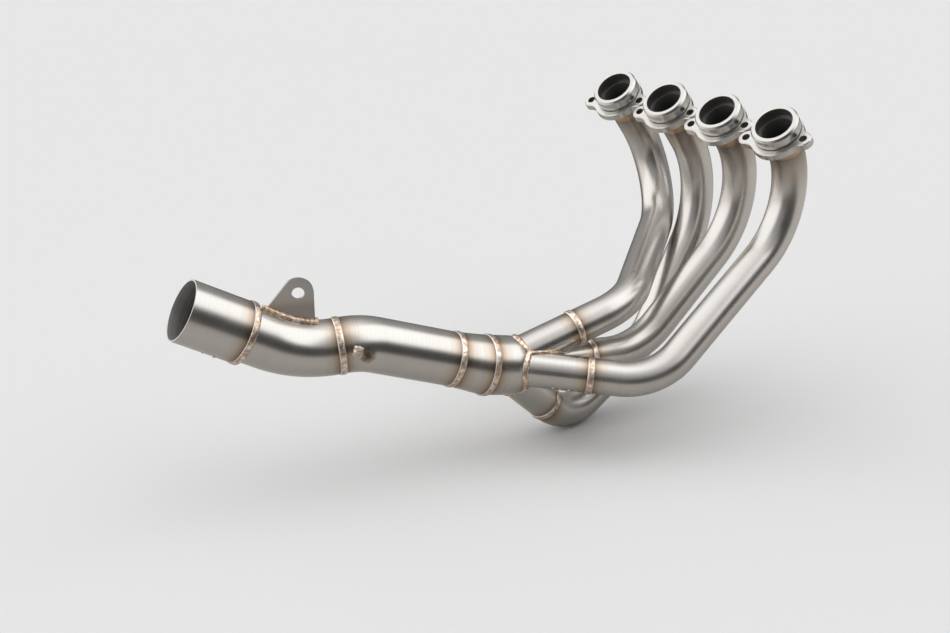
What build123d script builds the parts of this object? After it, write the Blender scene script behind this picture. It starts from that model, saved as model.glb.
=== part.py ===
from build123d import *
import math
import os

os.makedirs("parts", exist_ok=True)

# Four-into-one exhaust header for an in-line four motorcycle engine.
# Millimetres. X forward on the bike, Y to the rider's left, Z up.
# The origin is the middle of the gasket face of port 4, the port furthest to the right.

# Ports on the cylinder head
PORT_COUNT = 4
PORT_PITCH = 76.0
PORT_LEAN = 39.0

# Tube stock
TUBE_OD = 38.1
MID_OD = 57.2
BODY_OD = 63.5
WALL = 1.5

# Head flanges
PLATE_THICK = 8.0
PLATE_RADIUS = 29.0
PLATE_DROP = 3.0
SPIGOT_HEIGHT = 14.0
SPIGOT_OD = 52.0
SPIGOT_STEP = 1.35
SOCKET_DEPTH = 10.0
LIP_IN = 1.6
LIP_DOWN = 2.4
GROOVE_DEPTH = 1.2
GROOVE_HEIGHT = 1.2
GROOVE_SLOPE = 0.4
FOOT_STEP = 1.4
FOOT_HEIGHT = 1.2
PLATE_CHAMFER = 0.9
STUD_SPACING = 66.0
STUD_TURN = 12.5
STUD_DROP = 5.0
STUD_HOLE = 8.6
EAR_RADIUS = 8.8
WAIST_RADIUS = 14.0

# Collector: the point where the branch axes cross, and the way its body points (forward end)
MERGE_AT = [-270.0, 131.0, -240.0]
BODY_TURN = -15.9
BODY_DIP = 11.8
BODY_BEHIND = 15.0
BODY_AHEAD = 10.0
BODY_SPARE = 8.0
SEAM_START = 2.0
CONE_LENGTH = 38.0
CONE_SPARE = 6.0

# Branch ends on the collector, ports 1 to 4, measured from the merge point
BRANCH_ENDS = [Vector(86, -28.7, 27.6), Vector(65, -6, -62), Vector(114, -21, -16), Vector(70, -68, -10)]

# Primary tubes, ports 1 to 4: leg below the port, any corner between (measured from the port face),
# leg before the branch
PORT_LEGS = [175.0, 150.0, 142.0, 125.0]
MIDDLE_CORNERS = [[], [Vector(-34, -21, -272)], [], []]
BRANCH_LEGS = [67.0, 42.0, 69.0, 71.0]
BEND_RADII = [[76.0, 70.0], [100.0, 76.0, 57.0], [100.0, 90.0], [91.0, 76.0]]

# Mid pipe: steps from the merge point to each corner of its centre line and on to the mouth of the
# sleeve, bend radii, and how far behind the front corner its two halves are joined
FRONT_STEP = [-141.0, 51.0, 50.0]
REAR_STEP = [-55.0, 29.0, -5.0]
OUTLET_STEP = [-105.0, 38.0, 62.0]
MID_BEND_FRONT = 76.0
MID_BEND_REAR = 118.0
MID_JOINT = 21.3

# Outlet sleeve, and how far it stands out from the mid pipe
SLEEVE_STEP = 3.15
SLEEVE_LENGTH = 65.0
SLEEVE_SEAT = 12.0

# Hanger bracket, standing on the rear half of the mid pipe; its foot is measured from the rear corner
HANGER_FOOT = Vector(-7, 4.5, 7)
HANGER_HEADING = 150.0
HANGER_THICK = 4.0
HANGER_HOLE = 12.5
HANGER_HOLE_BACK = 11.0
HANGER_HOLE_UP = 56.5
HANGER_RADIUS = 15.5
HANGER_TOE = 21.0
HANGER_TOE_UP = 42.0

# Stub lug on the side of the mid pipe; its foot is measured from the front corner
LUG_FOOT = Vector(1, 0, -2)
LUG_SIDE = Vector(-0.66, -0.74, 0.14)
LUG_LENGTH = 11.0
LUG_WIDTH = 9.0
LUG_RISE = 5.5
LUG_CHAMFER = 2.0

# Weld beads
BEAD_WIDTH = 8.0
BEAD_RISE = 1.5
BEAD_BITE = 0.6
SEAM_BEAD = 2.6
SEAM_GAP = 0.5
FLANGE_BEAD = 4.5
FLANGE_BEAD_OUT = 3.6
STEP_BEAD_BACK = 4.6
STEP_BEAD_AHEAD = 3.4


def unit(vector):
    return vector.normalized()


def along(turn, dip):
    """Direction that turns about Z from +X, then dips below the level."""
    a = math.radians(turn)
    b = math.radians(dip)
    return Vector(math.cos(a) * math.cos(b), math.sin(a) * math.cos(b), -math.sin(b))


merge = Vector(*MERGE_AT)
front_step = Vector(*FRONT_STEP)
rear_step = Vector(*REAR_STEP)
outlet_step = Vector(*OUTLET_STEP)
port_out = Vector(math.sin(math.radians(PORT_LEAN)), 0, -math.cos(math.radians(PORT_LEAN)))
body_axis = along(BODY_TURN, BODY_DIP)
body_back = merge - body_axis * BODY_BEHIND
front_corner = merge + front_step
rear_corner = front_corner + rear_step
outlet = rear_corner + outlet_step
cone_axis = unit(front_corner - body_back)
cone_end = body_back + cone_axis * CONE_LENGTH
outlet_axis = unit(outlet_step)
sleeve_start = outlet - outlet_axis * SLEEVE_LENGTH
socket_top = SPIGOT_HEIGHT + PLATE_THICK - SOCKET_DEPTH
sleeve_radius = MID_OD / 2 + SLEEVE_STEP
block_side = 4 * max(end.length for end in BRANCH_ENDS)


def port_face(index):
    return Vector(0, (PORT_COUNT - 1 - index) * PORT_PITCH, 0)


def branch_end(index):
    return merge + BRANCH_ENDS[index]


def branch_axis(index):
    return unit(BRANCH_ENDS[index])


def bent_path(corners, radii):
    """Straight runs joined by tangent arcs at the inner corners."""
    edges = []
    start = corners[0]
    for i, radius in enumerate(radii):
        before = unit(corners[i + 1] - corners[i])
        after = unit(corners[i + 2] - corners[i + 1])
        half_turn = math.acos(max(-1.0, min(1.0, before.dot(after)))) / 2
        trim = radius * math.tan(half_turn)
        arc_in = corners[i + 1] - before * trim
        arc_out = corners[i + 1] + after * trim
        inward = unit(after - before)
        crown = corners[i + 1] + inward * (radius / math.cos(half_turn) - radius)
        if (arc_in - start).length > 0.01:
            edges.append(Edge.make_line(start, arc_in))
        edges.append(Edge.make_three_point_arc(arc_in, crown, arc_out))
        start = arc_out
    if (corners[-1] - start).length > 0.01:
        edges.append(Edge.make_line(start, corners[-1]))
    return Wire(edges)


def swept_rod(corners, radii, radius):
    """Solid rod of one radius along a bent path."""
    path = bent_path(corners, radii)
    section = Plane(corners[0], z_dir=corners[1] - corners[0]) * Circle(radius)
    return sweep(section, path=path)


def straight_rod(start, end, radius):
    length = (end - start).length
    return Plane(start, z_dir=end - start) * Cylinder(radius, length, align=(Align.CENTER, Align.CENTER, Align.MIN))


def half_space(point, direction):
    """Big block that fills the side of a plane its direction points to."""
    block = Box(block_side, block_side, block_side, align=(Align.CENTER, Align.CENTER, Align.MIN))
    return Plane(point, z_dir=direction) * block


def main_solid(shape):
    """Largest solid of a cut shape, without the loose slivers."""
    solids = shape.solids().sort_by(SortBy.VOLUME)
    return solids[-1]


def primary_corners(index):
    top = port_face(index)
    end = branch_end(index)
    upper = top + port_out * PORT_LEGS[index]
    lower = end + branch_axis(index) * BRANCH_LEGS[index]
    between = [top + corner for corner in MIDDLE_CORNERS[index]]
    return [top + port_out * socket_top, upper] + between + [lower, end]


def primary_rod(index, radius):
    return swept_rod(primary_corners(index), BEND_RADII[index], radius)


def primary_tube(index):
    outer = primary_rod(index, TUBE_OD / 2)
    bore = primary_rod(index, TUBE_OD / 2 - WALL)
    return main_solid(outer - bore)


def waist_centre(ear, side):
    """Centre of the hollow arc that joins the middle disc to one ear."""
    reach = math.hypot(ear[0], ear[1])
    near = PLATE_RADIUS + WAIST_RADIUS
    far = EAR_RADIUS + WAIST_RADIUS
    swing = math.acos((reach ** 2 + near ** 2 - far ** 2) / (2 * reach * near))
    angle = math.atan2(ear[1], ear[0]) + side * swing
    return (near * math.cos(angle), near * math.sin(angle))


def toward(start, target, distance):
    length = math.hypot(target[0] - start[0], target[1] - start[1])
    share = distance / length
    return (start[0] + (target[0] - start[0]) * share, start[1] + (target[1] - start[1]) * share)


def waist_arc(start, centre, end):
    middle = toward(start, end, math.dist(start, end) / 2)
    return ThreePointArc(start, toward(centre, middle, WAIST_RADIUS), end)


def stud_points():
    """The two stud holes, measured from the middle of the plate."""
    turn = math.radians(STUD_TURN)
    half = STUD_SPACING / 2
    left = (half * math.cos(turn), STUD_DROP + half * math.sin(turn))
    right = (-half * math.cos(turn), STUD_DROP - half * math.sin(turn))
    return [left, right]


def plate_outline():
    """Middle disc with two rounded ears and hollow waists between them."""
    left, right = stud_points()
    hub = (0, 0)
    below_left = waist_centre(left, -1)
    above_left = waist_centre(left, 1)
    below_right = waist_centre(right, 1)
    above_right = waist_centre(right, -1)
    a = toward(hub, below_left, PLATE_RADIUS)
    b = toward(left, below_left, EAR_RADIUS)
    c = toward(left, above_left, EAR_RADIUS)
    d = toward(hub, above_left, PLATE_RADIUS)
    e = toward(hub, above_right, PLATE_RADIUS)
    f = toward(right, above_right, EAR_RADIUS)
    g = toward(right, below_right, EAR_RADIUS)
    h = toward(hub, below_right, PLATE_RADIUS)
    left_tip = toward(left, hub, -EAR_RADIUS)
    right_tip = toward(right, hub, -EAR_RADIUS)
    edges = [
        waist_arc(a, below_left, b),
        ThreePointArc(b, left_tip, c),
        waist_arc(c, above_left, d),
        ThreePointArc(d, (0, PLATE_RADIUS), e),
        waist_arc(e, above_right, f),
        ThreePointArc(f, right_tip, g),
        waist_arc(g, below_right, h),
        ThreePointArc(h, (0, -PLATE_RADIUS), a),
    ]
    return make_face(edges)


def flange_plane(index):
    return Plane(port_face(index), x_dir=(0, 1, 0), z_dir=port_out * -1)


def spigot_ring():
    """Raised ring that enters the port: chamfered lip, groove and low step at its foot."""
    r = SPIGOT_OD / 2
    foot = -SPIGOT_HEIGHT + FOOT_HEIGHT
    groove = foot + GROOVE_HEIGHT
    profile = Polyline(
        (0, 0),
        (r - LIP_IN, 0),
        (r, -LIP_DOWN),
        (r, groove + GROOVE_SLOPE),
        (r - GROOVE_DEPTH, groove),
        (r - GROOVE_DEPTH, foot),
        (r + FOOT_STEP, foot),
        (r + FOOT_STEP, -SPIGOT_HEIGHT),
        (0, -SPIGOT_HEIGHT),
        close=True,
    )
    face = Plane.XZ * make_face(profile)
    return revolve(face, Axis.Z)


def head_flange(index):
    plate = extrude(plate_outline(), PLATE_THICK)
    rim = plate.faces().sort_by(Axis.Z)[-1].outer_wire().edges()
    plate = chamfer(rim, PLATE_CHAMFER)
    plate = Pos(0, PLATE_DROP, -SPIGOT_HEIGHT - PLATE_THICK) * plate
    body = plate + spigot_ring()
    full = SPIGOT_HEIGHT + PLATE_THICK
    bore_radius = TUBE_OD / 2 + SPIGOT_STEP
    bore = Cylinder(bore_radius, 2 * socket_top)
    socket = Cylinder(TUBE_OD / 2, 2 * full + 2)
    body = body - bore - socket
    for point in stud_points():
        body = body - Pos(point[0], point[1] + PLATE_DROP, -full) * Cylinder(STUD_HOLE / 2, 2 * full)
    return main_solid(flange_plane(index) * body)


def bead_ring(plane, radius, bite):
    """Low rounded ring of weld; with a bite, its root lies that far below the metal."""
    half = BEAD_WIDTH / 2
    root = radius - bite
    crest = ThreePointArc((root, -half), (radius + BEAD_RISE, 0), (root, half))
    back = Line((root, half), (root, -half))
    face = Plane.XZ * make_face([crest, back])
    return plane * revolve(face, Axis.Z)


def flange_weld(index):
    r = TUBE_OD / 2
    foot = -(SPIGOT_HEIGHT + PLATE_THICK)
    tip = foot - FLANGE_BEAD
    brow = (r + FLANGE_BEAD_OUT, foot)
    crest = (r + FLANGE_BEAD_OUT * 0.7, foot - FLANGE_BEAD * 0.6)
    curve = ThreePointArc(brow, crest, (r, tip))
    back = Polyline((r, tip), (r, foot), brow)
    face = Plane.XZ * make_face([curve, back])
    return flange_plane(index) * revolve(face, Axis.Z)


def primary_weld(index):
    return bead_ring(Plane(branch_end(index), z_dir=branch_axis(index)), TUBE_OD / 2, 0)


def body_form(radius):
    """Round body with a domed forward end."""
    tube = straight_rod(body_back - body_axis * BODY_SPARE, merge + body_axis * BODY_AHEAD, radius)
    dome = Pos(merge + body_axis * BODY_AHEAD) * Sphere(radius)
    return tube + dome


def body_mitre():
    return Plane(body_back, z_dir=unit(cone_axis - body_axis))


def branch_rod(index, radius):
    return straight_rod(merge, branch_end(index), radius)


def branch_cell(index):
    """Space nearer to this branch axis than to any other, bounded by flat mitre planes."""
    cell = Pos(merge) * Box(block_side, block_side, block_side)
    for other in range(PORT_COUNT):
        if other != index:
            cell = cell & half_space(merge, branch_axis(index) - branch_axis(other))
    return cell


def collector_branch(index):
    wall = branch_rod(index, TUBE_OD / 2) - branch_rod(index, TUBE_OD / 2 - WALL)
    wall = wall & branch_cell(index)
    return main_solid(wall - body_form(BODY_OD / 2))


def collector_body():
    """Cup that the four branches open into."""
    cup = body_form(BODY_OD / 2) - body_form(BODY_OD / 2 - WALL)
    cup = cup & half_space(body_back, body_mitre().z_dir * -1)
    for index in range(PORT_COUNT):
        cup = cup - branch_rod(index, TUBE_OD / 2 - WALL)
    return main_solid(cup)


def ring_room(index):
    """Room round a branch end for its own ring of weld, where the seam bead stops short."""
    half = branch_axis(index) * (BEAD_WIDTH / 2 + SEAM_GAP)
    radius = TUBE_OD / 2 + BEAD_RISE + SEAM_GAP
    return straight_rod(branch_end(index) - half, branch_end(index) + half, radius)


def collector_seam_weld():
    """Bead that follows every seam between the branches and round the foot of each one."""
    swollen = [branch_rod(i, TUBE_OD / 2 + SEAM_BEAD) for i in range(PORT_COUNT)]
    foot = body_form(BODY_OD / 2 + SEAM_BEAD)
    bead = swollen[0] & foot
    for index in range(1, PORT_COUNT):
        bead = bead + (swollen[index] & foot)
    for first in range(PORT_COUNT):
        for second in range(first + 1, PORT_COUNT):
            bead = bead + (swollen[first] & swollen[second])
    bead = bead & half_space(merge + body_axis * SEAM_START, body_axis)
    bead = bead - body_form(BODY_OD / 2)
    for index in range(PORT_COUNT):
        bead = bead - branch_rod(index, TUBE_OD / 2) - ring_room(index)
    return bead


def cone_form(radius_large, radius_small):
    slope = (radius_large - radius_small) / CONE_LENGTH
    start = body_back - cone_axis * CONE_SPARE
    shape = Cone(
        radius_large + slope * CONE_SPARE,
        radius_small,
        CONE_LENGTH + CONE_SPARE,
        align=(Align.CENTER, Align.CENTER, Align.MIN),
    )
    return (Plane(start, z_dir=cone_axis) * shape) & half_space(body_back, body_mitre().z_dir)


def collector_cone():
    outer = cone_form(BODY_OD / 2, MID_OD / 2)
    bore = cone_form(BODY_OD / 2 - WALL, MID_OD / 2 - WALL)
    return main_solid(outer - bore)


def body_weld():
    ring = bead_ring(body_mitre(), BODY_OD / 2, BEAD_BITE)
    ring = ring - body_form(BODY_OD / 2) - cone_form(BODY_OD / 2, MID_OD / 2)
    return main_solid(ring)


def cone_weld():
    ring = bead_ring(Plane(cone_end, z_dir=cone_axis), MID_OD / 2, BEAD_BITE)
    ring = ring - cone_form(BODY_OD / 2, MID_OD / 2) - mid_front_rod(MID_OD / 2)
    return main_solid(ring)


def mid_joint():
    return front_corner + unit(rear_step) * MID_JOINT


def mid_end():
    return sleeve_start + outlet_axis * SLEEVE_SEAT


def mid_front_rod(radius):
    return swept_rod([cone_end, front_corner, mid_joint()], [MID_BEND_FRONT], radius)


def mid_rear_rod(radius):
    return swept_rod([mid_joint(), rear_corner, mid_end()], [MID_BEND_REAR], radius)


def mid_pipe_front():
    return main_solid(mid_front_rod(MID_OD / 2) - mid_front_rod(MID_OD / 2 - WALL))


def mid_pipe_rear():
    return main_solid(mid_rear_rod(MID_OD / 2) - mid_rear_rod(MID_OD / 2 - WALL))


def mid_pipe_weld():
    return bead_ring(Plane(mid_joint(), z_dir=rear_step), MID_OD / 2, 0)


def outlet_sleeve():
    """Wide sleeve, seated over the end of the mid pipe and open at the mouth."""
    outer = straight_rod(sleeve_start, outlet, sleeve_radius)
    seat = straight_rod(sleeve_start, outlet, MID_OD / 2)
    bore = straight_rod(sleeve_start + outlet_axis * SLEEVE_SEAT, outlet, sleeve_radius - WALL)
    return main_solid(outer - seat - bore)


def outlet_weld():
    r = MID_OD / 2
    s = sleeve_radius
    heel = (r, -STEP_BEAD_BACK)
    toe = (s, STEP_BEAD_AHEAD)
    curve = ThreePointArc(heel, (s + BEAD_RISE, 0), toe)
    back = Polyline(toe, (s, 0), (r, 0), heel)
    face = Plane.XZ * make_face([curve, back])
    return Plane(sleeve_start, z_dir=outlet_axis) * revolve(face, Axis.Z)


def hanger_plane():
    heading = math.radians(HANGER_HEADING)
    forward = Vector(math.cos(heading), math.sin(heading), 0)
    return Plane(rear_corner + HANGER_FOOT, x_dir=forward, z_dir=forward.cross(Vector(0, 0, 1)))


def hanger_blank():
    """Tab with a rounded head, one upright side and one sloping side."""
    head = (-HANGER_HOLE_BACK, HANGER_HOLE_UP)
    toe = (HANGER_TOE, HANGER_TOE_UP)
    reach = math.dist(head, toe)
    lean = math.atan2(toe[1] - head[1], toe[0] - head[0]) + math.acos(HANGER_RADIUS / reach)
    touch = (head[0] + HANGER_RADIUS * math.cos(lean), head[1] + HANGER_RADIUS * math.sin(lean))
    side = (head[0] - HANGER_RADIUS, head[1])
    crown = (head[0], head[1] + HANGER_RADIUS)
    low = MID_OD / 4
    edges = [
        ThreePointArc(side, crown, touch),
        Line(touch, toe),
        Line(toe, (HANGER_TOE, low)),
        Line((HANGER_TOE, low), (side[0], low)),
        Line((side[0], low), side),
    ]
    tab = extrude(make_face(edges), HANGER_THICK / 2, both=True)
    hole = Pos(head[0], head[1], 0) * Cylinder(HANGER_HOLE / 2, 2 * HANGER_THICK)
    return tab - hole


def hanger_bracket():
    return main_solid(hanger_plane() * hanger_blank() - mid_rear_rod(MID_OD / 2))


def hanger_weld():
    left = -HANGER_HOLE_BACK - HANGER_RADIUS - SEAM_BEAD
    right = HANGER_TOE + SEAM_BEAD
    width = HANGER_THICK + 2 * SEAM_BEAD
    block = Pos((left + right) / 2, MID_OD / 2, 0) * Box(right - left, MID_OD, width)
    bead = (hanger_plane() * block) & mid_rear_rod(MID_OD / 2 + SEAM_BEAD)
    bead = bead - mid_rear_rod(MID_OD / 2)
    return main_solid(bead - hanger_plane() * hanger_blank())


def stub_lug():
    """Short blunt lug welded to the side of the mid pipe."""
    forward = unit(front_corner - cone_end)
    plane = Plane(front_corner + LUG_FOOT, x_dir=forward, z_dir=LUG_SIDE)
    height = MID_OD / 2 + LUG_RISE
    block = Box(LUG_WIDTH, LUG_LENGTH, height, align=(Align.CENTER, Align.CENTER, Align.MIN))
    top = block.faces().sort_by(Axis.Z)[-1].edges()
    block = chamfer(top, LUG_CHAMFER)
    return main_solid(plane * block - mid_front_rod(MID_OD / 2))


for number in range(PORT_COUNT):
    label = str(number + 1)
    export_step(head_flange(number), "parts/head_flange_" + label + ".step")
    export_step(flange_weld(number), "parts/flange_weld_" + label + ".step")
    export_step(primary_tube(number), "parts/primary_tube_" + label + ".step")
    export_step(primary_weld(number), "parts/primary_weld_" + label + ".step")
    export_step(collector_branch(number), "parts/collector_branch_" + label + ".step")

export_step(collector_seam_weld(), "parts/collector_seam_weld.step")
export_step(collector_body(), "parts/collector_body.step")
export_step(body_weld(), "parts/body_weld.step")
export_step(collector_cone(), "parts/collector_cone.step")
export_step(cone_weld(), "parts/cone_weld.step")
export_step(mid_pipe_front(), "parts/mid_pipe_front.step")
export_step(mid_pipe_weld(), "parts/mid_pipe_weld.step")
export_step(mid_pipe_rear(), "parts/mid_pipe_rear.step")
export_step(outlet_weld(), "parts/outlet_weld.step")
export_step(outlet_sleeve(), "parts/outlet_sleeve.step")
export_step(hanger_bracket(), "parts/hanger_bracket.step")
export_step(hanger_weld(), "parts/hanger_weld.step")
export_step(stub_lug(), "parts/stub_lug.step")
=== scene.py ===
import math

import bpy
from mathutils import Matrix, Vector


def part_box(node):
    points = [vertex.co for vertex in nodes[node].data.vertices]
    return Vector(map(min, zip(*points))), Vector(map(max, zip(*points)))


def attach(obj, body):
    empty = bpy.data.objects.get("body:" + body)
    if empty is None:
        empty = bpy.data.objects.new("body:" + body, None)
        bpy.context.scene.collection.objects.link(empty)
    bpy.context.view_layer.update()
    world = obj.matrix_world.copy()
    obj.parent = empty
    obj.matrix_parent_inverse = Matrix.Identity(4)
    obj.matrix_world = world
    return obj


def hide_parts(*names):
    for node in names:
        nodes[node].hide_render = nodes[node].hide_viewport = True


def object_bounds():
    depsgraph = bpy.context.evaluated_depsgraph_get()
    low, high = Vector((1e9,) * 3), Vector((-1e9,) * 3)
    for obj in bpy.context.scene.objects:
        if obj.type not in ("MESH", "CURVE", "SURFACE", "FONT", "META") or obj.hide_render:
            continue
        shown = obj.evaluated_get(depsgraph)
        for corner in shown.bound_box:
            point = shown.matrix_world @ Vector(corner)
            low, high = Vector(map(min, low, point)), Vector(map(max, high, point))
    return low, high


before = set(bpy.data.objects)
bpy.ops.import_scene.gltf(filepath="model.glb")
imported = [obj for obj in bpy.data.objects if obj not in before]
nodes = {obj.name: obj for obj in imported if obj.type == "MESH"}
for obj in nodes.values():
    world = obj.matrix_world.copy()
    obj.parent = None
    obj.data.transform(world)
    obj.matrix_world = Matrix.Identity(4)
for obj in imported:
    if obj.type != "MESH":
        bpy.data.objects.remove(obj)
cad_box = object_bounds()
MM = 0.001

# Primary tubes. Four lengths of stainless tube, one for each port, drawn round a mandrel
# bender and left with a satin finish that runs round the tube. The steel is straw and brown
# where the weld at each end has heated it.
PORT_PITCH = 76 * MM
PORT_LEAN = math.radians(39)
TUBE_OD = 38.1 * MM
WALL = 1.5 * MM
SOCKET_TOP = 12 * MM
MERGE = Vector((-270, 131, -240)) * MM
BRANCH_ENDS = [(86, -28.7, 27.6), (65, -6, -62), (114, -21, -16), (70, -68, -10)]
PORT_LEGS = [175, 150, 142, 125]
MIDDLE_CORNERS = [[], [(-34, -21, -272)], [], []]
BRANCH_LEGS = [67, 42, 69, 71]
BEND_RADII = [[76, 70], [100, 76, 57], [100, 90], [91, 76]]
TUBE_SIDES = 96
BEND_STEP = math.radians(2.5)
RUN_STEP = 0.5 * MM
LEAST_STRAIGHT = 0.01 * MM
CREASE = math.radians(35)

port_out = Vector((math.sin(PORT_LEAN), 0, -math.cos(PORT_LEAN)))


def start_fresh():
    """Nothing selected, and no object in edit mode."""
    if bpy.context.object and bpy.context.object.mode != "OBJECT":
        bpy.ops.object.mode_set(mode="OBJECT")
    bpy.ops.object.select_all(action="DESELECT")


def set_in_mesh(piece):
    """The piece's place goes into its mesh, so that its object sits at the origin."""
    start_fresh()
    piece.select_set(True)
    bpy.context.view_layer.objects.active = piece
    bpy.ops.object.transform_apply(location=True, rotation=True, scale=True)


def bend_at(corners, number, radius):
    """Where the bend at one corner starts and stops, its middle, axis and angle."""
    before = (corners[number] - corners[number - 1]).normalized()
    after = (corners[number + 1] - corners[number]).normalized()
    angle = before.angle(after)
    trim = radius * math.tan(angle / 2)
    start = corners[number] - before * trim
    stop = corners[number] + after * trim
    middle = start + (after - before * before.dot(after)).normalized() * radius
    return start, stop, middle, before.cross(after).normalized(), angle


def centre_line(corners, radii):
    """Points along a bent tube's middle, each with its distance from the start."""
    points = []
    here = corners[0]
    for number, radius in enumerate(radii, 1):
        start, stop, middle, axis, angle = bend_at(corners, number, radius)
        count = max(1, round((start - here).length / RUN_STEP))
        points += [here.lerp(start, i / count) for i in range(count)]
        count = max(1, round(radius * angle / RUN_STEP))
        for i in range(count):
            points.append(middle + Matrix.Rotation(angle * i / count, 3, axis) @ (start - middle))
        here = stop
    count = max(1, round((corners[-1] - here).length / RUN_STEP))
    points += [here.lerp(corners[-1], i / count) for i in range(count + 1)]
    runs = [0.0]
    for a, b in zip(points, points[1:]):
        runs.append(runs[-1] + (b - a).length)
    return points, runs


def mark_run(piece, corners, radii):
    """Each ring of points on the tube learns how far it lies from the first end and from the last."""
    points, runs = centre_line(corners, radii)
    from_start = piece.data.attributes.new("from_start", "FLOAT", "POINT")
    from_end = piece.data.attributes.new("from_end", "FLOAT", "POINT")
    vertices = piece.data.vertices
    for first in range(0, len(vertices), TUBE_SIDES):
        ring = vertices[first:first + TUBE_SIDES]
        middle = sum((vertex.co for vertex in ring), Vector()) / TUBE_SIDES
        nearest = min(range(len(points)), key=lambda i: (points[i] - middle).length_squared)
        for vertex in ring:
            from_start.data[vertex.index].value = runs[nearest]
            from_end.data[vertex.index].value = runs[-1] - runs[nearest]


def bend_runs(corners, radii):
    """How far along the tube each bend starts and stops."""
    points, runs = centre_line(corners, radii)
    found = []
    for number, radius in enumerate(radii, 1):
        for spot in bend_at(corners, number, radius)[:2]:
            nearest = min(range(len(points)), key=lambda i: (points[i] - spot).length_squared)
            found.append(runs[nearest])
    return found


def bent_tube(name, corners, radii, outside, finishes):
    """A ring drawn out along each straight and spun round each bend, then given its wall.
    The finishes are the one outside and the one inside."""
    start_fresh()
    bpy.ops.mesh.primitive_circle_add(
        vertices=TUBE_SIDES, radius=outside / 2, location=corners[0],
        rotation=(corners[1] - corners[0]).to_track_quat("Z", "Y").to_euler(),
    )
    tube = bpy.context.object
    tube.name = name
    set_in_mesh(tube)
    bpy.ops.object.mode_set(mode="EDIT")
    bpy.ops.mesh.select_all(action="SELECT")
    here = corners[0]
    for number, radius in enumerate(radii, 1):
        start, stop, middle, axis, angle = bend_at(corners, number, radius)
        if (start - here).length > LEAST_STRAIGHT:
            bpy.ops.mesh.extrude_region_move(TRANSFORM_OT_translate={"value": start - here})
        steps = max(2, math.ceil(angle / BEND_STEP))
        bpy.ops.mesh.spin(steps=steps, angle=-angle, center=middle, axis=axis)
        here = stop
    bpy.ops.mesh.extrude_region_move(TRANSFORM_OT_translate={"value": corners[-1] - here})
    bpy.ops.mesh.select_all(action="SELECT")
    bpy.ops.mesh.normals_make_consistent(inside=False)
    bpy.ops.object.mode_set(mode="OBJECT")
    for finish in finishes:
        tube.data.materials.append(finish)
    shell = tube.modifiers.new("wall", "SOLIDIFY")
    shell.thickness = WALL
    shell.offset = -1
    shell.material_offset = 1
    shell.material_offset_rim = 1
    bpy.ops.object.modifier_apply(modifier=shell.name)
    bpy.ops.object.shade_smooth_by_angle(angle=CREASE)
    mark_run(tube, corners, radii)
    return tube


def port_top(port):
    """Middle of the port's gasket face."""
    return Vector((0, (3 - port) * PORT_PITCH, 0))


def branch_end(port):
    """Where the port's branch meets its tube, and the way that the branch points there."""
    return MERGE + Vector(BRANCH_ENDS[port]) * MM, Vector(BRANCH_ENDS[port]).normalized()


def primary_corners(port):
    """Both ends of the tube and the corners between them, where its straights would meet."""
    top = port_top(port)
    end, heading = branch_end(port)
    upper = top + port_out * PORT_LEGS[port] * MM
    lower = end + heading * BRANCH_LEGS[port] * MM
    between = [top + Vector(corner) * MM for corner in MIDDLE_CORNERS[port]]
    return [top + port_out * SOCKET_TOP, upper] + between + [lower, end]


class Graph:
    """The node tree of a material or a world, with short ways to add a node and to wire it."""

    def __init__(self, owner):
        self.owner = owner
        owner.use_nodes = True
        self.tree = owner.node_tree
        self.shader = next(node for node in self.tree.nodes if node.type in ("BSDF_PRINCIPLED", "BACKGROUND"))

    def add(self, kind, inputs=(), **settings):
        node = self.tree.nodes.new(kind)
        for key, value in settings.items():
            setattr(node, key, value)
        for key, value in dict(inputs).items():
            self.wire(value, node.inputs[key])
        return node

    def wire(self, value, socket):
        """The value is a socket, a node whose first output is meant, or a plain number or colour."""
        if isinstance(value, bpy.types.NodeSocket):
            self.tree.links.new(value, socket)
        elif isinstance(value, bpy.types.Node):
            self.tree.links.new(value.outputs[0], socket)
        else:
            socket.default_value = value

    def maths(self, operation, a, b=0.0, clamp=False):
        node = self.add("ShaderNodeMath", {0: a, 1: b}, operation=operation)
        node.use_clamp = clamp
        return node

    def ramp(self, value, stops):
        """A colour for each value, from stops of place and colour."""
        node = self.add("ShaderNodeValToRGB", {0: value})
        ramp = node.color_ramp
        while len(ramp.elements) < len(stops):
            ramp.elements.new(0.5)
        for element, (place, colour) in zip(ramp.elements, stops):
            element.position = place
            element.color = (*colour, 1)
        return node

    def blend(self, kind, share, a, b):
        node = self.add("ShaderNodeMix", data_type="RGBA", blend_type=kind)
        self.wire(share, node.inputs["Factor"])
        self.wire(a, node.inputs["A"])
        self.wire(b, node.inputs["B"])
        return node.outputs["Result"]

    def step(self, value, low, high):
        """0 at low, 1 at high and smooth between them."""
        node = self.add("ShaderNodeMapRange", {"Value": value, "From Min": low, "From Max": high})
        node.interpolation_type = "SMOOTHSTEP"
        return node.outputs["Result"]

    def place(self):
        return self.add("ShaderNodeTexCoord").outputs["Object"]

    def number(self, name):
        """The number that each point of the mesh carries under this name."""
        return self.add("ShaderNodeAttribute", attribute_name=name).outputs["Fac"]


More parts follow.
